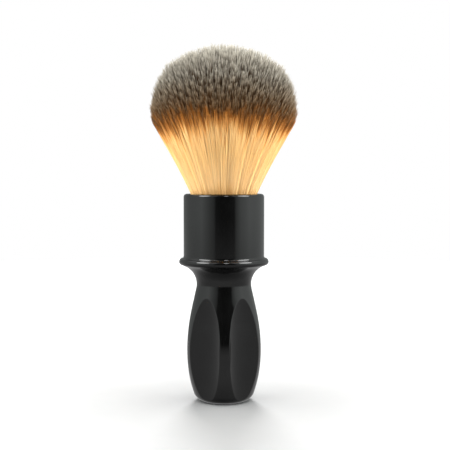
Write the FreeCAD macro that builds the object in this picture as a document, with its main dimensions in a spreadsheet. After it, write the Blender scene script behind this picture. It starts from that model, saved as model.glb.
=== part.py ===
import FreeCAD, Part
import math
import os

import Sketcher

# Shaving brush: a turned handle with five milled finger flutes, and a knot of fibres set in its socket.
# Millimetres, +Z up. The origin is the centre of the foot, so the brush stands on z = 0.

doc = FreeCAD.newDocument("shaving_brush")
sheet = doc.addObject("Spreadsheet::Sheet", "Dims")

# Driving dimensions. A radius is measured from the handle's axis and a level from the foot.
DIMENSIONS = {
    # handle outline, from the foot up
    "foot_edge_radius": 4.0,
    "belly_radius": 13.25,
    "belly_level": 18.2,
    "belly_curve_low": 48.0,
    "belly_curve_high": 57.0,
    "neck_radius": 9.66,
    "neck_level": 41.25,
    "neck_curve": 7.0,
    "bead_radius": 15.83,
    "bead_level": 49.25,
    "bead_crown": 1.15,
    "cove_curve": 0.9,
    "barrel_radius": 14.18,
    "rim_level": 73.1,
    "rim_edge_radius": 1.1,
    # socket and foot recess
    "socket_radius": 12.1,
    "socket_depth": 22.0,
    "mouth_chamfer": 0.35,
    "pilot_radius": 4.0,
    "pilot_depth": 3.0,
    "pilot_tip_depth": 2.3,
    "recess_radius": 5.4,
    "recess_depth": 0.65,
    # finger flutes
    "flute_count": 5,
    "flute_floor_radius": 10.0,
    "flute_curve": 13.0,
    "flute_top_level": 27.8,
    "flute_runout_curve": 100.0,
    "flute_runout_turn": 7.5,
    "flute_edge_radius": 0.4,
    # pieces held in the foot and the socket
    "fit_gap": 0.05,
    "disc_radius": 5.3,
    "disc_thickness": 0.5,
    "disc_edge_radius": 0.15,
    "spacer_hole_radius": 5.0,
    "spacer_thickness": 2.4,
    "epoxy_thickness": 0.8,
    "epoxy_wall": 0.35,
    "epoxy_rise": 6.0,
    "collar_wall": 0.6,
    "collar_rise": 8.0,
    "plug_rise": 6.0,
    "thread_radius": 0.25,
    "thread_pitch": 0.42,
    "thread_rise": 8.7,
    "waist_rise": 10.5,
    "roots_gap": 0.3,
    # fibre bundle above the rim
    "bundle_radius": 11.8,
    "bundle_level": 73.4,
    "flank_curve": 190.0,
    "shoulder_radius": 26.1,
    "shoulder_level": 102.2,
    "shoulder_curve": 11.5,
    "side_curve": 25.0,
    "corner_curve": 11.6,
    "crown_curve": 32.5,
    "tuft_level": 125.4,
    "flex_level": 86.0,
    "flex_gap": 0.3,
    "band_level": 98.0,
    "tips_level": 106.0,
    "slab_radius": 30.0,
}
THREAD_TURNS = 4

for row, (alias, value) in enumerate(DIMENSIONS.items(), start=1):
    sheet.set(f"A{row}", alias)
    sheet.set(f"B{row}", str(value))
    sheet.setAlias(f"B{row}", alias)
doc.recompute()


def value(expression):
    """The number that an expression on the sheet gives now."""
    return float(sheet.evalExpression(expression))


def dim(alias):
    return value(f"Dims.{alias}")


def point(x, y):
    return FreeCAD.Vector(x, y, 0)


def origin_plane(body, role):
    return next(f for f in body.Origin.OriginFeatures if f.Role == role)


def new_body(label):
    body = doc.addObject("PartDesign::Body", label)
    body.Label = label
    return body


def new_sketch(body, name, role, level=None, forward=None):
    """A sketch on one of the body's origin planes; level and forward shift an XY sketch by expression."""
    sketch = body.newObject("Sketcher::SketchObject", name)
    sketch.AttachmentSupport = [(origin_plane(body, role), "")]
    sketch.MapMode = "FlatFace"
    if level:
        sketch.setExpression("AttachmentOffset.Base.z", level)
    if forward:
        sketch.setExpression("AttachmentOffset.Base.y", forward)
    return sketch


def line(sketch, start, end):
    return sketch.addGeometry(Part.LineSegment(point(*start), point(*end)), False)


def arc(sketch, centre, radius, start_deg, end_deg):
    """An arc that runs anticlockwise from start_deg to end_deg."""
    circle = Part.Circle(point(*centre), FreeCAD.Vector(0, 0, 1), radius)
    curve = Part.ArcOfCircle(circle, math.radians(start_deg), math.radians(end_deg))
    return sketch.addGeometry(curve, False)


def turn_from(centre, other):
    """The direction from one point to another, in degrees."""
    return math.degrees(math.atan2(other[1] - centre[1], other[0] - centre[0]))


def bind(sketch, kind, *places, to):
    """Adds a constraint of one kind and drives its value from the sheet."""
    index = sketch.addConstraint(Sketcher.Constraint(kind, *places, value(to)))
    sketch.setExpression(f"Constraints[{index}]", to)


START, END, CENTRE = 1, 2, 3
ORIGIN = (-1, 1)
X_AXIS, Y_AXIS = -1, -2


def join(sketch, first, first_end, second, second_end, smooth=True):
    """Joins two curves at an end of each, smoothly or with a corner."""
    kind = "Tangent" if smooth else "Coincident"
    sketch.addConstraint(Sketcher.Constraint(kind, first, first_end, second, second_end))


def revolve(body, sketch, feature="PartDesign::Revolution", axis="V_Axis", turn=None):
    """Turns a sketch about one of its axes: all the way round, or upwards through a turn from the sheet."""
    solid = body.newObject(feature, f"{sketch.Name}_{feature.split('::')[1].lower()}")
    solid.Profile = (sketch, [""])
    solid.ReferenceAxis = (sketch, [axis])
    if turn:
        solid.Reversed = True
        solid.setExpression("Angle", turn)
    doc.recompute()
    return solid


def closed_outline(body, name, corners):
    """A sketch on the XZ plane through corners given as pairs of sheet expressions, joined by lines."""
    sketch = new_sketch(body, name, "XZ_Plane")
    places = [(value(x), value(y)) for x, y in corners]
    edges = [line(sketch, a, b) for a, b in zip(places, places[1:] + places[:1])]
    for index, edge in enumerate(edges):
        join(sketch, edge, END, edges[(index + 1) % len(edges)], START, smooth=False)
    for edge, (x, y) in zip(edges, corners):
        for kind, size, axis in (("DistanceX", x, Y_AXIS), ("DistanceY", y, X_AXIS)):
            if value(size) == 0:
                sketch.addConstraint(Sketcher.Constraint("PointOnObject", edge, START, axis))
            else:
                bind(sketch, kind, *ORIGIN, edge, START, to=size)
    return sketch


def turned(label, corners, level):
    """A body turned about the axis from a half outline, standing at a level."""
    body = new_body(label)
    revolve(body, closed_outline(body, f"{label}_outline", corners))
    body.setExpression("Placement.Base.z", level)
    return body


# ---------------------------------------------------------------- handle


def handle_outline(body):
    """Half the turned outline: foot, belly, neck, bead, cove, barrel and rim, every join smooth."""
    belly_r, belly_z = dim("belly_radius"), dim("belly_level")
    low, high = dim("belly_curve_low"), dim("belly_curve_high")
    neck_c = (dim("neck_radius") + dim("neck_curve"), dim("neck_level"))
    rim_z, rim_edge, barrel_r = dim("rim_level"), dim("rim_edge_radius"), dim("barrel_radius")
    crown, cove_r = dim("bead_crown"), dim("cove_curve")
    crown_c = (dim("bead_radius") - crown, dim("bead_level"))
    cove_x = barrel_r + cove_r
    cove_c = (cove_x, crown_c[1] + math.sqrt((crown + cove_r) ** 2 - (cove_x - crown_c[0]) ** 2))
    foot_edge = dim("foot_edge_radius")

    low_c = (belly_r - low, belly_z)
    high_c = (belly_r - high, belly_z)
    flat_r = low_c[0] + math.sqrt((low - foot_edge) ** 2 - (belly_z - foot_edge) ** 2)
    foot_turn = math.degrees(math.atan2(foot_edge - belly_z, flat_r - low_c[0]))
    shoulder_turn = 13.0  # the slope of the straight shoulder from the vertical, about
    bead_turn = 60.0  # the slope of the bead's underside from the vertical, about

    def on(centre, radius, degrees):
        turn = math.radians(degrees)
        return centre[0] + radius * math.cos(turn), centre[1] + radius * math.sin(turn)

    sketch = new_sketch(body, "handle_outline", "XZ_Plane")
    foot = line(sketch, (0, 0), (flat_r, 0))
    foot_round = arc(sketch, (flat_r, foot_edge), foot_edge, -90, foot_turn)
    belly_low = arc(sketch, low_c, low, foot_turn, 0)
    belly_high = arc(sketch, high_c, high, 0, shoulder_turn)
    neck_low = on(neck_c, dim("neck_curve"), 180 + shoulder_turn)
    shoulder = line(sketch, on(high_c, high, shoulder_turn), neck_low)
    neck = arc(sketch, neck_c, dim("neck_curve"), 180 - bead_turn, 180 + shoulder_turn)
    crown_low = on(crown_c, crown, -bead_turn)
    underside = line(sketch, on(neck_c, dim("neck_curve"), 180 - bead_turn), crown_low)
    bead_end = turn_from(crown_c, cove_c)
    bead = arc(sketch, crown_c, crown, -bead_turn, bead_end)
    cove = arc(sketch, cove_c, cove_r, 180, 180 + bead_end)
    barrel = line(sketch, (barrel_r, cove_c[1]), (barrel_r, rim_z - rim_edge))
    rim_round = arc(sketch, (barrel_r - rim_edge, rim_z - rim_edge), rim_edge, 0, 90)
    rim = line(sketch, (barrel_r - rim_edge, rim_z), (0, rim_z))
    axis = line(sketch, (0, rim_z), (0, 0))

    sketch.addConstraint(Sketcher.Constraint("Coincident", foot, START, *ORIGIN))
    sketch.addConstraint(Sketcher.Constraint("Horizontal", foot))
    join(sketch, foot, END, foot_round, START)
    join(sketch, foot_round, END, belly_low, START)
    join(sketch, belly_low, END, belly_high, START)
    join(sketch, belly_high, END, shoulder, START)
    join(sketch, shoulder, END, neck, END)
    join(sketch, neck, START, underside, START)
    join(sketch, underside, END, bead, START)
    join(sketch, bead, END, cove, END)
    join(sketch, cove, START, barrel, START)
    sketch.addConstraint(Sketcher.Constraint("Vertical", barrel))
    join(sketch, barrel, END, rim_round, START)
    join(sketch, rim_round, END, rim, START)
    sketch.addConstraint(Sketcher.Constraint("Horizontal", rim))
    join(sketch, rim, END, axis, START, smooth=False)
    join(sketch, axis, END, foot, START, smooth=False)
    sketch.addConstraint(Sketcher.Constraint("Vertical", axis))

    curves = (
        (foot_round, "foot_edge_radius"),
        (belly_low, "belly_curve_low"),
        (belly_high, "belly_curve_high"),
        (neck, "neck_curve"),
        (bead, "bead_crown"),
        (cove, "cove_curve"),
        (rim_round, "rim_edge_radius"),
    )
    for curve, alias in curves:
        bind(sketch, "Radius", curve, to=f"Dims.{alias}")
    bind(sketch, "DistanceX", *ORIGIN, belly_low, END, to="Dims.belly_radius")
    bind(sketch, "DistanceY", *ORIGIN, belly_low, END, to="Dims.belly_level")
    bind(sketch, "DistanceY", *ORIGIN, belly_low, CENTRE, to="Dims.belly_level")
    bind(sketch, "DistanceX", *ORIGIN, neck, CENTRE, to="Dims.neck_radius + Dims.neck_curve")
    bind(sketch, "DistanceY", *ORIGIN, neck, CENTRE, to="Dims.neck_level")
    bind(sketch, "DistanceX", *ORIGIN, bead, CENTRE, to="Dims.bead_radius - Dims.bead_crown")
    bind(sketch, "DistanceY", *ORIGIN, bead, CENTRE, to="Dims.bead_level")
    bind(sketch, "DistanceX", *ORIGIN, barrel, START, to="Dims.barrel_radius")
    bind(sketch, "DistanceY", *ORIGIN, rim, START, to="Dims.rim_level")
    return sketch


def socket_outline(body):
    """Half the bored socket: mouth chamfer, wall, floor, and the pilot hole with its drill tip."""
    floor = "Dims.rim_level - Dims.socket_depth"
    pilot_floor = f"{floor} - Dims.pilot_depth"
    corners = [
        ("0", "Dims.rim_level"),
        ("Dims.socket_radius + Dims.mouth_chamfer", "Dims.rim_level"),
        ("Dims.socket_radius", "Dims.rim_level - Dims.mouth_chamfer"),
        ("Dims.socket_radius", floor),
        ("Dims.pilot_radius", floor),
        ("Dims.pilot_radius", pilot_floor),
        ("0", f"{pilot_floor} - Dims.pilot_tip_depth"),
    ]
    return closed_outline(body, "socket_outline", corners)


def flute_section(body, name, level):
    """The round cutter's section, in front of the far axis about which it slowly lifts out."""
    lift_axis = "Dims.flute_floor_radius + Dims.flute_runout_curve"
    sketch = new_sketch(body, name, "XY_Plane", level=level, forward=lift_axis)
    curve = dim("flute_curve")
    centre = point(0, curve - dim("flute_runout_curve"))
    cutter = sketch.addGeometry(Part.Circle(centre, FreeCAD.Vector(0, 0, 1), curve), False)
    sketch.addConstraint(Sketcher.Constraint("PointOnObject", cutter, CENTRE, Y_AXIS))
    bind(sketch, "Radius", cutter, to="Dims.flute_curve")
    ahead = "Dims.flute_runout_curve - Dims.flute_curve"
    bind(sketch, "DistanceY", cutter, CENTRE, *ORIGIN, to=ahead)
    return sketch


def is_milled(face):
    """Whether a face belongs to a flute: its axis isn't the handle's own."""
    surface = face.Surface
    if isinstance(surface, Part.Cylinder):
        return math.hypot(surface.Center.x, surface.Center.y) > dim("belly_radius")
    axis = getattr(surface, "Axis", None)
    return axis is not None and abs(axis.z) < 0.5


def flute_edges(shape):
    """The names of the sharp edges where the flutes break the turned surface."""
    found = []
    for number, edge in enumerate(shape.Edges, start=1):
        faces = [f for f in shape.Faces if any(edge.isSame(other) for other in f.Edges)]
        if len(faces) == 2 and is_milled(faces[0]) != is_milled(faces[1]):
            found.append(f"Edge{number}")
    return found


def circle_sketch(body, name, radius):
    sketch = new_sketch(body, name, "XY_Plane")
    circle = Part.Circle(point(0, 0), FreeCAD.Vector(0, 0, 1), value(radius))
    ring = sketch.addGeometry(circle, False)
    sketch.addConstraint(Sketcher.Constraint("Coincident", ring, CENTRE, *ORIGIN))
    bind(sketch, "Radius", ring, to=radius)
    return sketch


def pocket_up(body, name, sketch, depth):
    """A pocket cut upwards from its sketch."""
    pocket = body.newObject("PartDesign::Pocket", name)
    pocket.Profile = sketch
    pocket.Reversed = True
    pocket.setExpression("Length", depth)
    doc.recompute()
    return pocket


def make_handle():
    body = new_body("handle")
    steps = [("turned blank", revolve(body, handle_outline(body)))]
    steps.append(("socket", revolve(body, socket_outline(body), "PartDesign::Groove")))
    recess = circle_sketch(body, "recess_outline", "Dims.recess_radius")
    steps.append(("foot recess", pocket_up(body, "foot_recess", recess, "Dims.recess_depth")))

    run_sketch = flute_section(body, "flute_run_section", None)
    run = pocket_up(body, "flute_run", run_sketch, "Dims.flute_top_level")
    steps.append(("flute run", run))
    end_sketch = flute_section(body, "flute_end_section", "Dims.flute_top_level")
    runout = revolve(body, end_sketch, "PartDesign::Groove", "H_Axis", turn="Dims.flute_runout_turn")
    steps.append(("flute end", runout))

    flutes = body.newObject("PartDesign::PolarPattern", "flutes")
    flutes.Originals = [run, runout]
    flutes.Axis = (origin_plane(body, "Z_Axis"), [""])
    flutes.Angle = 360
    flutes.setExpression("Occurrences", "Dims.flute_count")
    body.Tip = flutes
    doc.recompute()
    steps.append(("flute pattern", flutes))

    rounding = body.newObject("PartDesign::Fillet", "flute_rounding")
    rounding.Base = (flutes, flute_edges(flutes.Shape))
    rounding.setExpression("Radius", "Dims.flute_edge_radius")
    doc.recompute()
    steps.append(("flute rounding", rounding))

    for (_, before), (name, after) in zip(steps, steps[1:]):
        removed = before.Shape.Volume - after.Shape.Volume
        print(f"{name} removes {removed:.1f} mm3")
        if removed <= 0:
            raise RuntimeError(f"the {name} cut nothing")
    return body


# ---------------------------------------------------------------- pieces in the foot and the socket

SOCKET_FLOOR = "Dims.rim_level - Dims.socket_depth"
EPOXY_BASE = f"{SOCKET_FLOOR} + Dims.spacer_thickness"
KNOT_BASE = f"{EPOXY_BASE} + Dims.epoxy_thickness"
EPOXY_OUTER = "Dims.socket_radius - Dims.fit_gap"
EPOXY_INNER = f"{EPOXY_OUTER} - Dims.epoxy_wall"
COLLAR_OUTER = f"{EPOXY_INNER} - Dims.fit_gap"
COLLAR_INNER = f"{COLLAR_OUTER} - Dims.collar_wall"
PLUG_RADIUS = f"{COLLAR_INNER} - Dims.fit_gap"


def make_foot_disc():
    """A plain disc let into the foot, a little above the surface that the brush stands on."""
    edge = "Dims.disc_edge_radius"
    corners = [
        ("0", "0"),
        (f"Dims.disc_radius - {edge}", "0"),
        ("Dims.disc_radius", edge),
        ("Dims.disc_radius", "Dims.disc_thickness"),
        ("0", "Dims.disc_thickness"),
    ]
    return turned("foot_disc", corners, "Dims.recess_depth - Dims.disc_thickness")


def make_loft_spacer():
    """A washer on the socket floor, which sets how far the fibres stand out."""
    corners = [
        ("Dims.spacer_hole_radius", "0"),
        (EPOXY_OUTER, "0"),
        (EPOXY_OUTER, "Dims.spacer_thickness"),
        ("Dims.spacer_hole_radius", "Dims.spacer_thickness"),
    ]
    return turned("loft_spacer", corners, SOCKET_FLOOR)


def make_epoxy_bed():
    """The cured adhesive: a bed under the knot and a thin wall squeezed up round its collar."""
    corners = [
        ("0", "0"),
        (EPOXY_OUTER, "0"),
        (EPOXY_OUTER, "Dims.epoxy_rise"),
        (EPOXY_INNER, "Dims.epoxy_rise"),
        (EPOXY_INNER, "Dims.epoxy_thickness"),
        ("0", "Dims.epoxy_thickness"),
    ]
    return turned("epoxy_bed", corners, EPOXY_BASE)


def make_knot_collar():
    """The thin moulded ring in which the knot's base is cast."""
    corners = [
        (COLLAR_INNER, "0"),
        (COLLAR_OUTER, "0"),
        (COLLAR_OUTER, "Dims.collar_rise"),
        (COLLAR_INNER, "Dims.collar_rise"),
    ]
    return turned("knot_collar", corners, KNOT_BASE)


def make_root_plug():
    """The resin puck that bonds the fibre roots together."""
    corners = [
        ("0", "0"),
        (PLUG_RADIUS, "0"),
        (PLUG_RADIUS, "Dims.plug_rise"),
        ("0", "Dims.plug_rise"),
    ]
    return turned("root_plug", corners, KNOT_BASE)


def make_fibre_roots():
    """The tightly packed fibres inside the socket, straight to the binding and then opening out."""
    top = f"Dims.rim_level - Dims.roots_gap - ({KNOT_BASE})"
    corners = [
        ("0", "Dims.plug_rise"),
        (PLUG_RADIUS, "Dims.plug_rise"),
        (PLUG_RADIUS, "Dims.waist_rise"),
        ("Dims.bundle_radius - Dims.roots_gap", top),
        ("0", top),
    ]
    return turned("fibre_roots", corners, KNOT_BASE)


def make_binding_thread():
    """Turns of thread laid side by side round the fibre roots."""
    turns = []
    for turn in range(THREAD_TURNS):
        ring = doc.addObject("Part::Torus", f"thread_turn_{turn + 1}")
        ring.setExpression("Radius1", f"{PLUG_RADIUS} + Dims.fit_gap + Dims.thread_radius")
        ring.setExpression("Radius2", "Dims.thread_radius")
        ring.setExpression("Placement.Base.z", f"{turn} * Dims.thread_pitch")
        turns.append(ring)
    winding = doc.addObject("Part::MultiFuse", "binding_thread")
    winding.Label = "binding_thread"
    winding.Shapes = turns
    winding.setExpression("Placement.Base.z", f"{KNOT_BASE} + Dims.thread_rise")
    return winding


# ---------------------------------------------------------------- fibres above the rim


def meet(first, first_radius, second, second_radius, side):
    """A point at given distances from two others, left (1) or right (-1) of the line between them."""
    across = (second[0] - first[0], second[1] - first[1])
    apart = math.hypot(*across)
    along = (apart**2 + first_radius**2 - second_radius**2) / (2 * apart)
    off = side * math.sqrt(first_radius**2 - along**2)
    unit = (across[0] / apart, across[1] / apart)
    return first[0] + along * unit[0] - off * unit[1], first[1] + along * unit[1] + off * unit[0]


def make_tuft_outline():
    """The outer shape of the whole bundle above the rim: flaring flank, shoulder, side and dome."""
    body = new_body("tuft_outline")
    sketch = new_sketch(body, "tuft_profile", "XZ_Plane")
    start = (dim("bundle_radius"), dim("bundle_level"))
    flank_r, shoulder_r, side_r = dim("flank_curve"), dim("shoulder_curve"), dim("side_curve")
    corner_r, crown_r = dim("corner_curve"), dim("crown_curve")
    shoulder_c = (dim("shoulder_radius") - shoulder_r, dim("shoulder_level"))
    side_c = (dim("shoulder_radius") - side_r, dim("shoulder_level"))
    crown_c = (0, dim("tuft_level") - crown_r)
    flank_c = meet(start, flank_r, shoulder_c, flank_r + shoulder_r, -1)
    corner_c = meet(side_c, side_r - corner_r, crown_c, crown_r - corner_r, 1)

    floor = line(sketch, (0, start[1]), start)
    flank_end = turn_from(flank_c, shoulder_c)
    flank = arc(sketch, flank_c, flank_r, flank_end % 360, turn_from(flank_c, start) % 360)
    shoulder = arc(sketch, shoulder_c, shoulder_r, turn_from(shoulder_c, flank_c), 0)
    corner_low, corner_high = turn_from(side_c, corner_c), turn_from(crown_c, corner_c)
    side = arc(sketch, side_c, side_r, 0, corner_low)
    corner = arc(sketch, corner_c, corner_r, corner_low, corner_high)
    crown = arc(sketch, crown_c, crown_r, corner_high, 90)
    axis = line(sketch, (0, dim("tuft_level")), (0, start[1]))

    join(sketch, floor, END, flank, END, smooth=False)
    join(sketch, flank, START, shoulder, START)
    join(sketch, shoulder, END, side, START)
    join(sketch, side, END, corner, START)
    join(sketch, corner, END, crown, START)
    join(sketch, crown, END, axis, START, smooth=False)
    join(sketch, axis, END, floor, START, smooth=False)
    sketch.addConstraint(Sketcher.Constraint("PointOnObject", floor, START, Y_AXIS))
    sketch.addConstraint(Sketcher.Constraint("PointOnObject", axis, START, Y_AXIS))
    sketch.addConstraint(Sketcher.Constraint("PointOnObject", crown, CENTRE, Y_AXIS))
    sketch.addConstraint(Sketcher.Constraint("Horizontal", floor))
    curves = (
        (flank, "flank_curve"),
        (shoulder, "shoulder_curve"),
        (side, "side_curve"),
        (corner, "corner_curve"),
        (crown, "crown_curve"),
    )
    for curve, alias in curves:
        bind(sketch, "Radius", curve, to=f"Dims.{alias}")
    bind(sketch, "DistanceX", *ORIGIN, floor, END, to="Dims.bundle_radius")
    bind(sketch, "DistanceY", *ORIGIN, floor, END, to="Dims.bundle_level")
    bind(sketch, "DistanceX", *ORIGIN, side, START, to="Dims.shoulder_radius")
    bind(sketch, "DistanceY", *ORIGIN, side, START, to="Dims.shoulder_level")
    bind(sketch, "DistanceY", *ORIGIN, side, CENTRE, to="Dims.shoulder_level")
    bind(sketch, "DistanceY", *ORIGIN, axis, START, to="Dims.tuft_level")
    revolve(body, sketch)
    return body


def make_fibre_zones():
    """The bundle above the rim as closed solids, one for each zone along the fibres."""
    outline = make_tuft_outline()
    levels = {
        "fibre_shafts": ("Dims.bundle_level", "Dims.flex_level - Dims.flex_gap"),
        "fibre_shafts_upper": ("Dims.flex_level", "Dims.band_level"),
        "fibre_band": ("Dims.band_level", "Dims.tips_level"),
        "fibre_tips": ("Dims.tips_level", "Dims.tuft_level"),
    }
    zones = []
    for label, (low, high) in levels.items():
        slab = doc.addObject("Part::Cylinder", f"{label}_slab")
        slab.setExpression("Radius", "Dims.slab_radius")
        slab.setExpression("Height", f"{high} - ({low})")
        slab.setExpression("Placement.Base.z", low)
        zone = doc.addObject("Part::Common", label)
        zone.Label = label
        zone.Base = outline
        zone.Tool = slab
        zones.append(zone)
    return zones


# ---------------------------------------------------------------- build, check and write

subparts = [
    make_handle(),
    make_foot_disc(),
    make_loft_spacer(),
    make_epoxy_bed(),
    make_knot_collar(),
    make_root_plug(),
    make_binding_thread(),
    make_fibre_roots(),
    *make_fibre_zones(),
]
doc.recompute()

failed = [o.Label for o in doc.Objects if {"Invalid", "Error"} & set(o.State)]
for subpart in subparts:
    shape = subpart.Shape
    if shape.isNull() or not shape.isValid() or not shape.Solids:
        failed.append(subpart.Label)
if failed:
    raise RuntimeError(f"these did not build: {failed}")

os.makedirs("parts", exist_ok=True)
for subpart in subparts:
    shape = subpart.Shape
    box = shape.optimalBoundingBox(False)
    print(
        f"{subpart.Label}: {len(shape.Solids)} solid, {shape.Volume:.1f} mm3, "
        f"z {box.ZMin:.2f} to {box.ZMax:.2f}, across {box.XLength:.2f}"
    )
    shape.exportStep(f"parts/{subpart.Label}.step")
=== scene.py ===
import math

import bmesh
import bpy
import numpy as np
from mathutils import Matrix, Vector, kdtree


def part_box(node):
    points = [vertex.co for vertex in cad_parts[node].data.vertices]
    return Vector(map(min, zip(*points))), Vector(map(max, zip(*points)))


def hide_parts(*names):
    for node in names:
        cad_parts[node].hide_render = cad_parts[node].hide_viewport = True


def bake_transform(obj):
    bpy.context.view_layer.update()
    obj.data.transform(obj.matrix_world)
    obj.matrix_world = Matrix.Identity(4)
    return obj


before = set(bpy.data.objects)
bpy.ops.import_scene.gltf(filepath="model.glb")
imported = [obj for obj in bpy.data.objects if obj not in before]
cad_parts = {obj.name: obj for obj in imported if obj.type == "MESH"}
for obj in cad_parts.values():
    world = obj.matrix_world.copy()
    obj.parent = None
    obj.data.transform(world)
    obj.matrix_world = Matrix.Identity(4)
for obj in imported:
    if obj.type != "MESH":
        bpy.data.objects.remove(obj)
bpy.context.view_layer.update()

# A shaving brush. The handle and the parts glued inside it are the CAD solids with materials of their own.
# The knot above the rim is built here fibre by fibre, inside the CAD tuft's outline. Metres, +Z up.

MM = 0.001
rng = np.random.default_rng(24)

# ---------------------------------------------------------------------------------------- the knot
TUFT_NODES = ("fibre_shafts", "fibre_shafts_upper", "fibre_band", "fibre_tips")
SOCKET_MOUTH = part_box("handle")[1].z
ROOT_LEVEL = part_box("fibre_roots")[1].z + 0.05 * MM
CUT_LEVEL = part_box("fibre_shafts_upper")[0].z
DYE_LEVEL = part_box("fibre_band")[0].z
TUFT_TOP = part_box("fibre_tips")[1].z
FLARE_END = DYE_LEVEL - 3 * MM        # above this the outline turns in from the fibres' own flare

FIBRES = 18000
CLUMP_SIZE = 8                        # fibres that cling together at their tips
OUTER_SHARE = 0.16                    # of the fibres, seen over their whole length
INSET = 0.1 * MM                      # of the outermost fibres' middles, inside the CAD outline
DISC_SCATTER = 0.004                  # of a fibre from its even place, as a share of the bundle's radius
CLUMP_SCATTER = 0.006
CLUMP_REACH = 0.985                   # the outermost clump's middle, as a share of the radius
OUTER_CLUMP_SHARE = 0.995             # a clump farther out takes its tip level from here
CLUMP_TIP_SCATTER = 0.3 * MM          # in the level of the tips
OWN_TIP_SCATTER = 0.22 * MM
TIP_DROP = 0.6 * MM                   # of the tips on average, below the CAD outline
LEAN = 0.010                          # spread of a tip's sideways lean, as a share of the radius
THICKNESS = 0.22 * MM                 # of a fibre, drawn thicker than a real one, which is 0.1 mm
TIP_THICKNESS = 0.06 * MM
TAPER = 5 * MM                        # length over which a fibre thins to its tip
CLING_LENGTH = 9 * MM                 # length over which a clump's fibres draw together
CLING = 0.62                          # how far they do, as a share of the way
INNER_LENGTH = 16 * MM                # modelled length of a fibre whose shaft is hidden
SECTORS = 6                           # pieces round the axis
END_RING = 0.004                      # of a tube's length: a ring this near each end keeps its shading true
DYE_WAVE = 1.1                        # mm: the dye line is this much lower at the sides, higher in front
STRIP_ROWS = 8                        # of fibres in the OFBake UV map
CORE_SIDES = 144
CORE_GAP = 0.01                       # between the core and the outer fibres, as a share of the radius
CORE_DEPTH = 5.5 * MM                 # of the head's core below the tips
CORE_FROM_TIP = 6.0                   # mm: the core is coloured like fibres this far below their tips, so in the dyed zone it carries the full painted gap shade
CORE_TONE = 0.3

# ---------------------------------------------------------------------------------------- the studio
CAMERA_DISTANCE = 350 * MM
CAMERA_HEIGHT = 79.7 * MM
AIM = Vector((0.39, 0, 62.1)) * MM
CAMERA_TURN = math.radians(-1.3)      # round the brush's axis
LENS = 79.5                           # mm
SENSOR = 36                           # mm


# ========================================================================================= node helpers
def node(tree, kind, inputs=None, output=0, **settings):
    """Adds one shader node; an input is a value or another node's output. Returns one of its outputs."""
    made = tree.nodes.new("ShaderNode" + kind)
    for name, value in settings.items():
        setattr(made, name, value)
    for name, value in (inputs or {}).items():
        if isinstance(value, bpy.types.NodeSocket):
            tree.links.new(value, made.inputs[name])
        else:
            made.inputs[name].default_value = value
    return made.outputs[output]


def math_node(tree, operation, a, b):
    return node(tree, "Math", {0: a, 1: b}, operation=operation)


def rescale(tree, value, low, high, to_low=0.0, to_high=1.0):
    """value mapped from low..high to to_low..to_high, and held there outside."""
    return node(tree, "MapRange", {"Value": value, "From Min": low, "From Max": high,
                                   "To Min": to_low, "To Max": to_high})


def mix(tree, factor, a, b):
    """The colour between a and b."""
    return node(tree, "Mix", {0: factor, 6: a, 7: b}, output=2, data_type="RGBA")


def ramp(tree, factor, stops):
    """A colour ramp with stops (position, colour)."""
    made = tree.nodes.new("ShaderNodeValToRGB")
    while len(made.color_ramp.elements) < len(stops):
        made.color_ramp.elements.new(1.0)
    for element, (position, colour) in zip(made.color_ramp.elements, stops):
        element.position = position
        element.color = rgba(colour)
    tree.links.new(factor, made.inputs["Fac"])
    return made.outputs["Color"]


def rgba(colour):
    """A colour given as one grey level or as red, green and blue."""
    red, green, blue = colour if hasattr(colour, "__len__") else (colour,) * 3
    return red, green, blue, 1.0


def noise(tree, scale, detail, stretch=(1, 1, 1)):
    """Noise in the piece's own coordinates: scale is in waves per metre, stretch lengthens it."""
    place = node(tree, "TexCoord", output=3)
    place = node(tree, "Mapping", {"Vector": place, "Scale": [1 / s for s in stretch]})
    return node(tree, "TexNoise", {"Vector": place, "Scale": scale, "Detail": detail})


def new_material(name, **constants):
    """A Principled material whose constant values are set on the shader's own sockets."""
    material = bpy.data.materials.new(name)
    material.use_nodes = True
    shader = material.node_tree.nodes["Principled BSDF"]
    for socket, value in constants.items():
        shader.inputs[socket.replace("_", " ")].default_value = value
    return material, material.node_tree, shader


def drive(tree, shader, socket, value):
    tree.links.new(value, shader.inputs[socket])


def bump(tree, shader, height, distance, strength=1.0):
    normal = node(tree, "Bump", {"Height": height, "Distance": distance, "Strength": strength})
    drive(tree, shader, "Normal", normal)


# ========================================================================================= materials
def resin_material():
    """Polished black resin: deep black, with the faint unevenness of buffing in its gloss."""
    material, tree, shader = new_material("black_resin", IOR=1.5, Specular_IOR_Level=0.5)
    cloud = noise(tree, 140, 3)
    drive(tree, shader, "Base Color", ramp(tree, cloud, [(0.3, 0.0012), (0.7, 0.0022)]))
    swirl = noise(tree, 900, 4, stretch=(1, 1, 0.35))
    drive(tree, shader, "Roughness", rescale(tree, swirl, 0.35, 0.7, 0.03, 0.06))
    bump(tree, shader, noise(tree, 220, 2), 0.006 * MM, 0.5)
    return material


def plain_material(name, dark, light, scale, roughness):
    """A finish for the pieces inside the handle: mottled between two colours, with a fine grain."""
    material, tree, shader = new_material(name)
    spots = noise(tree, scale, 4)
    drive(tree, shader, "Base Color", ramp(tree, spots, [(0.35, dark), (0.65, light)]))
    drive(tree, shader, "Roughness", rescale(tree, spots, 0.3, 0.7, roughness - 0.06, roughness + 0.06))
    bump(tree, shader, noise(tree, 3 * scale, 3), 0.02 * MM, 0.6)
    return material


def thread_material():
    """Waxed white thread: fine plied strands run slantwise round each turn."""
    material, tree, shader = new_material("waxed_thread", Roughness=0.55)
    strands = noise(tree, 4000, 2, stretch=(1, 1, 0.3))
    stops = [(0.35, (0.52, 0.49, 0.42)), (0.65, (0.82, 0.8, 0.74))]
    drive(tree, shader, "Base Color", ramp(tree, strands, stops))
    bump(tree, shader, strands, 0.05 * MM)
    return material


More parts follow.
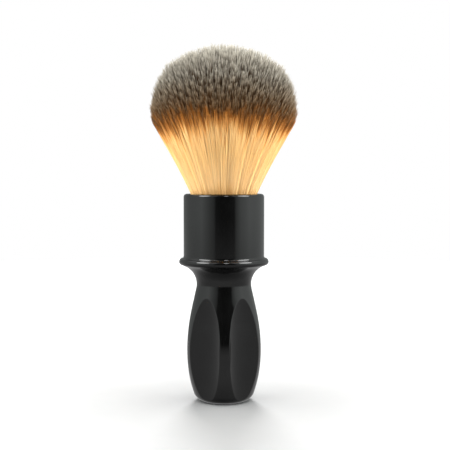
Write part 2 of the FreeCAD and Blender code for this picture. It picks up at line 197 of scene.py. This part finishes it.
FIBRE_STOPS = (     # mm above the foot, and the fibre's colour there
    # the first stop is painted shade: the amber darkens towards the socket mouth, where the rim shades the
    # fibres
    (72.0, (0.66, 0.38, 0.14)),
    (76.0, (0.80, 0.52, 0.235)),
    (86.0, (0.88, 0.56, 0.225)),
    (92.0, (0.95, 0.61, 0.25)),
    (94.4, (0.84, 0.42, 0.115)),
    (96.5, (0.46, 0.17, 0.030)),
    (98.8, (0.22, 0.078, 0.013)),
    (101.4, (0.085, 0.034, 0.007)),
    (106.0, (0.045, 0.021, 0.006)),
    (110.0, (0.055, 0.032, 0.014)),
    (115.0, (0.12, 0.102, 0.08)),
    (120.0, (0.155, 0.14, 0.115)),
    (125.5, (0.19, 0.18, 0.155)),
)
DYED_FROM, DYED_BY = 97, 104          # mm above the foot, where tips start to turn pale and painted shade starts to darken the fibres' depths
STRAND_SHIFT, CLUMP_SHIFT = 1.4, 2.0  # mm: how far the dye line wanders up and down
STRAY, STRAY_SHIFT = 0.86, 4          # strands toned above this are dyed lower, by up to so many mm
STRAND_TONE, CLUMP_TONE = 0.08, 0.04  # how much lighter or darker one strand or clump is than another
LOW_TIP, HIGH_TIP = (0.38, 0.27, 0.15), (0.34, 0.317, 0.258)
# GAP_SHADE is painted shade: in the dyed zone, fibre lengths more than 2 to 5 mm below their tips darken
# towards it, standing for the shade in the gaps between clumps
GAP_SHADE, GAP_SHADE_SHARE = (0.035, 0.020, 0.011), 0.75


def fibre_material(name):
    """Dyed synthetic fibre: amber, then brown-black above the dye line, then greying to pale tips. In the
    dyed zone, lengths far below the tips are darkened with painted shade for the gaps between clumps.
    """
    material, tree, shader = new_material(name, Roughness=0.45, Specular_IOR_Level=0.25)
    strand, clump, height, from_tip = (
        node(tree, "Attribute", output=2, attribute_name=attribute_name)
        for attribute_name in ("strand", "clump", "height_mm", "from_tip_mm")
    )

    def scatter(strand_reach, clump_reach):
        """The strand's and its clump's random tones added up, each spread over -reach..reach."""
        own = rescale(tree, strand, 0, 1, -strand_reach, strand_reach)
        return math_node(tree, "ADD", own, rescale(tree, clump, 0, 1, -clump_reach, clump_reach))

    shift = scatter(STRAND_SHIFT, CLUMP_SHIFT)
    shift = math_node(tree, "ADD", shift, rescale(tree, strand, STRAY, 1, 0, STRAY_SHIFT))
    level = math_node(tree, "ADD", height, shift)
    low, high = FIBRE_STOPS[0][0], FIBRE_STOPS[-1][0]
    stops = [((z - low) / (high - low), colour) for z, colour in FIBRE_STOPS]
    colour = ramp(tree, rescale(tree, level, low, high), stops)
    dyed = rescale(tree, level, DYED_FROM, DYED_BY)
    tip = math_node(tree, "MULTIPLY", rescale(tree, from_tip, 2.2, 0.2), dyed)
    tip = math_node(tree, "MULTIPLY", tip, rescale(tree, height, 100, 113, 0.22, 0.62))
    pale = mix(tree, rescale(tree, height, 101, 112), rgba(LOW_TIP), rgba(HIGH_TIP))
    colour = mix(tree, tip, colour, pale)
    # painted shade: lengths far below a fibre's tip, in the dyed zone, darken as if lying in the gaps
    # between clumps
    gap_shade = math_node(tree, "MULTIPLY", rescale(tree, from_tip, 2.0, 5.0), dyed)
    colour = mix(tree, math_node(tree, "MULTIPLY", gap_shade, GAP_SHADE_SHARE), colour, rgba(GAP_SHADE))
    vary = math_node(tree, "ADD", scatter(STRAND_TONE, CLUMP_TONE), 1.0)
    colour = node(tree, "HueSaturation", {"Color": colour, "Value": vary})
    drive(tree, shader, "Base Color", colour)
    return material


# ========================================================================================= the outline
def tuft_outline():
    """(levels, radii) of the CAD tuft's outer surface, bottom to top."""
    rings = {}
    for name in TUFT_NODES:
        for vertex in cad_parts[name].data.vertices:
            level = round(vertex.co.z, 5)
            rings[level] = max(rings.get(level, 0.0), vertex.co.xy.length)
    levels = np.array(sorted(rings))
    return levels, np.array([rings[level] for level in levels])


OUTLINE = tuft_outline()
FLARE_FIT = np.polyfit(*(values[OUTLINE[0] < FLARE_END] for values in OUTLINE), 2)


def flare(level):
    """Radius at which the outermost fibre would pass a level, had it no tip."""
    return np.polyval(FLARE_FIT, level)


def tip_level(share):
    """Level of the tip of a fibre that stands at this share of the bundle's radius."""
    levels = np.linspace(FLARE_END, TUFT_TOP, 800)
    shares = np.minimum.accumulate(np.interp(levels, *OUTLINE) / flare(levels))
    return np.interp(share, shares[::-1], levels[::-1])


# ========================================================================================= fibres
def golden_spiral(count):
    """count points evenly spread over the unit disc, as an array of x, y."""
    index = np.arange(count)
    share = np.sqrt((index + 0.5) / count)
    angle = index * math.pi * (3 - math.sqrt(5))
    return np.column_stack([share * np.cos(angle), share * np.sin(angle)])


def nearest(points, centres):
    """For each point of the disc, the number of the nearest centre."""
    tree = kdtree.KDTree(len(centres))
    for number, (x, y) in enumerate(centres):
        tree.insert((x, y, 0), number)
    tree.balance()
    return np.array([tree.find((x, y, 0))[1] for x, y in points])


def smooth(t):
    t = np.clip(t, 0, 1)
    return t * t * (3 - 2 * t)


class Fibres:
    """Every fibre's place in the bundle, its tip, its clump and its own variations."""

    def __init__(self):
        self.disc = golden_spiral(FIBRES) + rng.normal(0, DISC_SCATTER, (FIBRES, 2))
        self.share = np.minimum(np.hypot(*self.disc.T), 1.0)
        self.disc *= (self.share / np.hypot(*self.disc.T))[:, None]
        clumps = FIBRES // CLUMP_SIZE
        centres = golden_spiral(clumps) * CLUMP_REACH + rng.normal(0, CLUMP_SCATTER, (clumps, 2))
        member = nearest(self.disc, centres)
        clump_share = np.minimum(np.hypot(*centres.T), OUTER_CLUMP_SHARE)
        own_level = tip_level(self.share)
        shared_level = tip_level(clump_share)[member]
        clump_offset = rng.normal(0, CLUMP_TIP_SCATTER, clumps)[member]
        own_offset = rng.normal(0, OWN_TIP_SCATTER, FIBRES)
        self.tip = 0.5 * own_level + 0.5 * shared_level + clump_offset + own_offset - TIP_DROP
        self.centre = centres[member]
        self.clump_tone = rng.random(clumps)[member]
        self.tone = rng.random(FIBRES)
        lean = rng.normal(0, LEAN, (clumps, 2))[member] + rng.normal(0, LEAN, (FIBRES, 2))
        outward = self.disc / self.share[:, None]
        spill = np.maximum((lean * outward).sum(axis=1), 0) * self.share ** 2
        self.lean = lean - outward * spill[:, None]
        self.spin = rng.random(FIBRES) * 2 * math.pi
        self.angle = np.arctan2(self.disc[:, 1], self.disc[:, 0])

    def position(self, who, level):
        """Points of the chosen fibres at the given levels; level has a row for each fibre."""
        tip = self.tip[who][:, None]
        grown = smooth((level - SOCKET_MOUTH) / (tip - SOCKET_MOUTH)) ** 2
        cling = CLING * smooth((level - tip + CLING_LENGTH) / CLING_LENGTH)
        spread = flare(level) - INSET
        points = []
        for axis in (0, 1):
            own = self.disc[who, axis][:, None]
            centre = self.centre[who, axis][:, None]
            lean = self.lean[who, axis][:, None]
            points.append(spread * (own + cling * (centre - own) + grown * lean))
        return np.stack(points + [level], axis=-1)

    def radius(self, who, level):
        from_tip = self.tip[who][:, None] - level
        thinness = np.clip(from_tip / TAPER, 0, 1)
        return 0.5 * (TIP_THICKNESS + (THICKNESS - TIP_THICKNESS) * thinness)


def tubes(name, fibres, who, level):
    """One mesh of three-sided closed tubes, a ring of each fibre at each of its levels."""
    count, rings = level.shape
    centre = fibres.position(who, level)
    radius = fibres.radius(who, level)
    sides = np.arange(3) * 2 * math.pi / 3
    turn = fibres.spin[who][:, None, None] + sides[None, None, :]
    corners = np.repeat(centre[:, :, None, :], 3, axis=2)
    corners[..., 0] += radius[..., None] * np.cos(turn)
    corners[..., 1] += radius[..., None] * np.sin(turn)

    first = (np.arange(count) * rings * 3)[:, None, None]
    ring = (np.arange(rings - 1) * 3)[None, :, None]
    side = np.arange(3)[None, None, :]
    after = (side + 1) % 3
    base = first + ring
    quads = np.stack([base + side, base + after, base + 3 + after, base + 3 + side], axis=-1)
    quads = quads.reshape(-1, 4)
    start = first[:, 0, 0]
    bottom = np.stack([start + 2, start + 1, start], axis=-1)
    top = start + (rings - 1) * 3
    caps = np.concatenate([bottom, np.stack([top, top + 1, top + 2], axis=-1)])

    mesh = bpy.data.meshes.new(name)
    mesh.vertices.add(count * rings * 3)
    mesh.vertices.foreach_set("co", corners.astype(np.float32).ravel())
    mesh.loops.add(quads.size + caps.size)
    indices = np.concatenate([quads.ravel(), caps.ravel()])
    mesh.loops.foreach_set("vertex_index", indices.astype(np.int32))
    mesh.polygons.add(len(quads) + len(caps))
    starts = np.concatenate([np.arange(len(quads)) * 4, quads.size + np.arange(len(caps)) * 3])
    mesh.polygons.foreach_set("loop_start", starts.astype(np.int32))
    smooth_face = np.concatenate([np.ones(len(quads), bool), np.zeros(len(caps), bool)])
    mesh.polygons.foreach_set("use_smooth", smooth_face)
    mesh.update(calc_edges=True)

    along = np.repeat(level.ravel(), 3)
    tip = np.repeat(fibres.tip[who], rings * 3)
    wave = np.repeat(DYE_WAVE * np.cos(2 * fibres.angle[who]), rings * 3)
    attribute(mesh, "height_mm", along / MM + wave)
    attribute(mesh, "from_tip_mm", (tip - along) / MM)
    attribute(mesh, "strand", np.repeat(fibres.tone[who], rings * 3))
    attribute(mesh, "clump", np.repeat(fibres.clump_tone[who], rings * 3))
    lay_out_strips(mesh, count, rings)
    return new_object(name, mesh)


def lay_out_strips(mesh, count, rings):
    """The UV layer OFBake: a narrow upright strip for each fibre, root down, in rows."""
    columns = math.ceil(count / STRIP_ROWS)
    number = np.arange(count)
    cell = np.stack([number % columns, number // columns], axis=-1)
    across = np.array([0.1, 0.9, 0.9, 0.1])
    ring = np.arange(rings - 1)[:, None] + np.array([0, 0, 1, 1])
    along = 0.05 + 0.9 * ring / (rings - 1)
    strip = np.stack(np.broadcast_arrays(across, along), axis=-1)
    walls = np.repeat(cell[:, None, None, None] + strip[None, :, None], 3, axis=2)
    bottom = cell[:, None] + np.array([(0.1, 0.05), (0.9, 0.05), (0.5, 0.08)])
    top = cell[:, None] + np.array([(0.1, 0.95), (0.9, 0.95), (0.5, 0.92)])
    places = np.concatenate([part.reshape(-1, 2) for part in (walls, bottom, top)])
    places /= (columns, STRIP_ROWS)
    layer = mesh.uv_layers.new(name="OFBake")
    layer.data.foreach_set("uv", places.astype(np.float32).ravel())


def attribute(mesh, name, values):
    layer = mesh.attributes.new(name, "FLOAT", "POINT")
    layer.data.foreach_set("value", np.asarray(values, np.float32))


def new_object(name, mesh):
    made = bpy.data.objects.new(name, mesh)
    bpy.context.scene.collection.objects.link(made)
    return made


def core(name, bottom, top_of):
    """A closed, ribbed body under the outer fibres, from bottom up to top_of(share of the radius)."""
    edge = math.sqrt(1 - OUTER_SHARE) - CORE_GAP
    steps = np.concatenate([[0, END_RING], np.linspace(0, 1, 14)[1:-1], [1 - END_RING, 1]])
    wall = bottom + (top_of(edge) - bottom) * steps
    cap = np.linspace(edge, 0, 18)[1:]
    shares = np.concatenate([[edge * 0.5], np.full(len(wall), edge), cap])
    levels = np.concatenate([[bottom], wall, top_of(cap)])
    angle = np.arange(CORE_SIDES) * 2 * math.pi / CORE_SIDES
    ribs = 1 + 0.006 * np.sin(angle * 48) + 0.004 * np.sin(angle * 31 + 1)
    mesh = bpy.data.meshes.new(name)
    build = bmesh.new()
    rings = []
    for share, level in zip(shares, levels):
        if share < 1e-9:
            rings.append([build.verts.new((0, 0, level))])
            continue
        radius = share * flare(level) * ribs
        rings.append([build.verts.new((r * math.cos(a), r * math.sin(a), level))
                      for r, a in zip(radius, angle)])
    for low, high in zip(rings, rings[1:]):
        for i in range(CORE_SIDES):
            j = (i + 1) % CORE_SIDES
            if len(high) == 1:
                build.faces.new((low[i], low[j], high[0]))
            else:
                build.faces.new((low[i], low[j], high[j], high[i]))
    build.faces.new(reversed(rings[0]))
    build.normal_update()
    for face in build.faces:
        face.smooth = abs(face.normal.z) < 0.9 or face.calc_center_median().z > CUT_LEVEL + 1 * MM
    build.to_mesh(mesh)
    build.free()
    levels = np.array([vertex.co.z for vertex in mesh.vertices])
    attribute(mesh, "height_mm", levels / MM)
    attribute(mesh, "from_tip_mm", np.full(len(levels), CORE_FROM_TIP))
    attribute(mesh, "strand", np.full(len(levels), CORE_TONE))
    attribute(mesh, "clump", np.full(len(levels), CORE_TONE))
    return new_object(name, mesh)


def finish_tuft_piece(piece, material, lower, replaced):
    """Gives a tuft piece its material, bakes its placement into its mesh and hides the CAD parts it
    replaces.
    """
    piece.data.materials.append(material)
    if lower:
        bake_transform(piece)
    else:
        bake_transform(piece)
    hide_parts(*replaced)


def make_tuft():
    """The outer fibres in two lengths that meet at the cut, the crown's inner fibres, and the cores."""
    fibres = Fibres()
    outer = fibres.share ** 2 > 1 - OUTER_SHARE
    sector = ((fibres.angle / (2 * math.pi)) % 1 * SECTORS).astype(int)
    low_steps = np.array([0, END_RING, 0.25, 0.5, 0.75, 1 - END_RING, 1])
    high_steps = np.array([0, END_RING, 0.22, 0.42, 0.58, 0.72, 0.84, 0.93, 1])
    inner_steps = np.array([0, 0.3, 0.55, 0.75, 0.9, 1])
    shaft_look = fibre_material("shaft_fibre")
    outer_look = fibre_material("outer_fibre")
    crown_look = fibre_material("crown_fibre")
    for number in range(SECTORS):
        who = np.flatnonzero(outer & (sector == number))
        tip = fibres.tip[who][:, None]
        low = ROOT_LEVEL + (CUT_LEVEL - ROOT_LEVEL) * low_steps + 0 * tip
        piece = tubes(f"shaft_fibres_{number + 1}", fibres, who, low)
        finish_tuft_piece(piece, shaft_look, True, ["fibre_shafts"])
        high = CUT_LEVEL + (tip - CUT_LEVEL) * high_steps
        piece = tubes(f"outer_fibres_{number + 1}", fibres, who, high)
        finish_tuft_piece(piece, outer_look, False, ["fibre_shafts_upper", "fibre_band"])
        who = np.flatnonzero(~outer & (sector == number))
        tip = fibres.tip[who][:, None]
        inner = tip - INNER_LENGTH * (1 - inner_steps)
        piece = tubes(f"crown_fibres_{number + 1}", fibres, who, inner)
        finish_tuft_piece(piece, crown_look, False, ["fibre_tips"])
    piece = core("shaft_core", ROOT_LEVEL, lambda share: CUT_LEVEL + 0 * share)
    finish_tuft_piece(piece, shaft_look, True, ["fibre_shafts"])
    piece = core("head_core", CUT_LEVEL, lambda share: tip_level(share) - CORE_DEPTH)
    whole_head = ["fibre_shafts_upper", "fibre_band", "fibre_tips"]
    finish_tuft_piece(piece, outer_look, False, whole_head)


# ========================================================================================= the studio
FLOOR_RADIUS = 0.6
FLOOR_DROP = 0.05 * MM                       # below the foot
SHADOW_REACH, SHADOW_FADE_REACH = 8 * MM, 80 * MM     # painted shadow: the card is darker near the foot and whitens between these distances from the origin
SHADOWED_WHITE, FULL_WHITE = 0.72, 0.9


def make_floor():
    """A round sheet of matt white card, which the polished handle doesn't mirror; near the foot its colour
    is darkened by a painted shadow.
    Returns the collection that lets a lamp leave the card out of its light."""
    build = bmesh.new()
    bmesh.ops.create_circle(build, cap_ends=True, segments=96, radius=FLOOR_RADIUS)
    bmesh.ops.translate(build, verts=build.verts, vec=(0, 0, -FLOOR_DROP))
    mesh = bpy.data.meshes.new("floor")
    build.to_mesh(mesh)
    build.free()
    floor = new_object("floor", mesh)
    floor.visible_glossy = False
    material, tree, shader = new_material("white_card_painted_shadow", Roughness=0.8, Specular_IOR_Level=0.1)
    place = node(tree, "TexCoord", output=3)
    from_foot = node(tree, "VectorMath", {0: place}, output=1, operation="LENGTH")
    # painted shadow: the card's colour is darker towards the foot
    pale = rescale(tree, from_foot, SHADOW_REACH, SHADOW_FADE_REACH, SHADOWED_WHITE, FULL_WHITE)
    drive(tree, shader, "Base Color", mix(tree, 0.04, pale, noise(tree, 60, 3)))
    mesh.materials.append(material)
    spared = bpy.data.collections.new("lit_without_fills")
    spared.objects.link(floor)
    spared.collection_objects[0].light_linking.link_state = "EXCLUDE"
    return spared


STUDIO_LEVELS = (     # degrees round from -Y, towards +X, and how bright the surroundings are there
    (-180, 0.2), (-150, 0.3), (-120, 0.55), (-67, 1.2), (-29, 0.38), (-24, 0.07), (-6, 0.02),
    (6, 0.02), (28, 0.06), (34, 0.5), (48, 1.05), (76, 1.4), (120, 0.75), (150, 0.4), (180, 0.2),
)
TENT_TINT = (0.95, 1.0, 0.98)
GROUND_LEVELS = (      # sine of the elevation, and how bright the surroundings are below the horizon
    (-1.0, 0.15), (-0.8, 0.3), (-0.55, 0.5), (-0.1, 0.5),
)
ROOF_FROM, ROOF_BY = 32, 55                  # degrees of elevation over which the walls turn into the roof
GROUND_FROM, GROUND_BY = -0.04, -0.16        # sine of the elevation, walls into ground


def make_world():
    """A white tent, open and dark on the side where the camera stands."""
    world = bpy.data.worlds.new("tent")
    world.use_nodes = True
    bpy.context.scene.world = world
    tree = world.node_tree
    tree.nodes.clear()
    toward = node(tree, "TexCoord", output=0)
    apart = tree.nodes.new("ShaderNodeSeparateXYZ")
    tree.links.new(toward, apart.inputs[0])
    x, y, z = apart.outputs
    turn = math_node(tree, "ARCTAN2", x, math_node(tree, "MULTIPLY", y, -1.0))
    round_about = rescale(tree, turn, -math.pi, math.pi)
    stops = [
        ((degrees + 180) / 360, [level * part for part in TENT_TINT])
        for degrees, level in STUDIO_LEVELS
    ]
    walls = ramp(tree, round_about, stops)
    roof = rescale(tree, z, math.sin(math.radians(ROOF_FROM)), math.sin(math.radians(ROOF_BY)))
    light = mix(tree, roof, walls, rescale(tree, walls, 0.05, 0.4, 0.15, 1.3))
    ground = ramp(tree, rescale(tree, z, -1, 0), [(sine + 1, level) for sine, level in GROUND_LEVELS])
    light = mix(tree, rescale(tree, z, GROUND_FROM, GROUND_BY), light, ground)
    seen = node(tree, "LightPath", output=0)
    light = mix(tree, seen, light, rgba(1.0))
    background = tree.nodes.new("ShaderNodeBackground")
    output = tree.nodes.new("ShaderNodeOutputWorld")
    tree.links.new(light, background.inputs["Color"])
    tree.links.new(background.outputs[0], output.inputs["Surface"])


LAMP_TARGET = Vector((0, 0, 80)) * MM


def make_lamp(name, azimuth, elevation, power, size, distance=0.7, gloss=True, spared=None):
    """A round soft box: azimuth is in degrees from the camera's side, towards +X. A lamp without gloss
    leaves no spot on the polished handle. The light of a lamp with spared skips the objects in it."""
    turn, rise = math.radians(azimuth), math.radians(elevation)
    away = Vector((math.sin(turn) * math.cos(rise), -math.cos(turn) * math.cos(rise), math.sin(rise)))
    data = bpy.data.lights.new(name, "AREA")
    data.shape = "DISK"
    data.size = size
    data.energy = power
    lamp = bpy.data.objects.new(name, data)
    lamp.location = LAMP_TARGET + away * distance
    lamp.rotation_euler = (LAMP_TARGET - lamp.location).to_track_quat("-Z", "Y").to_euler()
    lamp.visible_glossy = gloss
    lamp.light_linking.receiver_collection = spared
    bpy.context.scene.collection.objects.link(lamp)


def make_camera():
    data = bpy.data.cameras.new("camera")
    data.lens = LENS
    data.sensor_width = SENSOR
    camera = bpy.data.objects.new("camera", data)
    place = Matrix.Rotation(CAMERA_TURN, 3, "Z") @ Vector((AIM.x, -CAMERA_DISTANCE, CAMERA_HEIGHT))
    aim = Matrix.Rotation(CAMERA_TURN, 3, "Z") @ AIM
    camera.location = place
    camera.rotation_euler = (aim - place).to_track_quat("-Z", "Y").to_euler()
    bpy.context.scene.collection.objects.link(camera)
    bpy.context.scene.camera = camera


# ========================================================================================= the scene
make_camera()
make_world()
floor_alone = make_floor()
make_lamp("lamp_left", -76, 48, 3.6, 0.36, spared=floor_alone)
make_lamp("lamp_middle", 8, 55, 0.5, 0.12)
make_lamp("lamp_right", 76, 48, 3.6, 0.36, spared=floor_alone)
make_lamp("lamp_back", 180, 40, 11.0, 0.5, distance=1.2, gloss=False)
make_lamp("fill_left", -12, 0, 3.2, 0.5, gloss=False, spared=floor_alone)
make_lamp("fill_right", 14, 0, 3.3, 0.5, gloss=False, spared=floor_alone)
make_lamp("rim_left", -98, 36, 9.0, 0.4, gloss=False, spared=floor_alone)
make_lamp("rim_right", 98, 36, 9.0, 0.4, gloss=False, spared=floor_alone)
make_tuft()

CAD_LOOKS = {
    "handle": resin_material(),
    "foot_disc": plain_material("foot_pad_matt", 0.012, 0.022, 900, 0.75),
    "loft_spacer": plain_material("spacer_rubber", 0.015, 0.03, 700, 0.8),
    "epoxy_bed": plain_material("cured_epoxy", (0.55, 0.42, 0.2), (0.68, 0.55, 0.3), 250, 0.25),
    "knot_collar": plain_material("collar_nylon", (0.7, 0.69, 0.64), (0.8, 0.79, 0.74), 400, 0.4),
    "root_plug": plain_material("casting_resin", (0.45, 0.25, 0.07), (0.6, 0.36, 0.12), 300, 0.2),
    "binding_thread": thread_material(),
    "fibre_roots": plain_material("potted_fibre", (0.5, 0.28, 0.1), (0.75, 0.45, 0.17), 2500, 0.5),
}
for name, look in CAD_LOOKS.items():
    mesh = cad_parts[name].data
    mesh.materials.clear()
    mesh.materials.append(look)
for name in TUFT_NODES:
    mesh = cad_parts[name].data
    mesh.materials.clear()
    mesh.materials.append(CAD_LOOKS["fibre_roots"])

bpy.context.scene.view_settings.view_transform = "Standard"
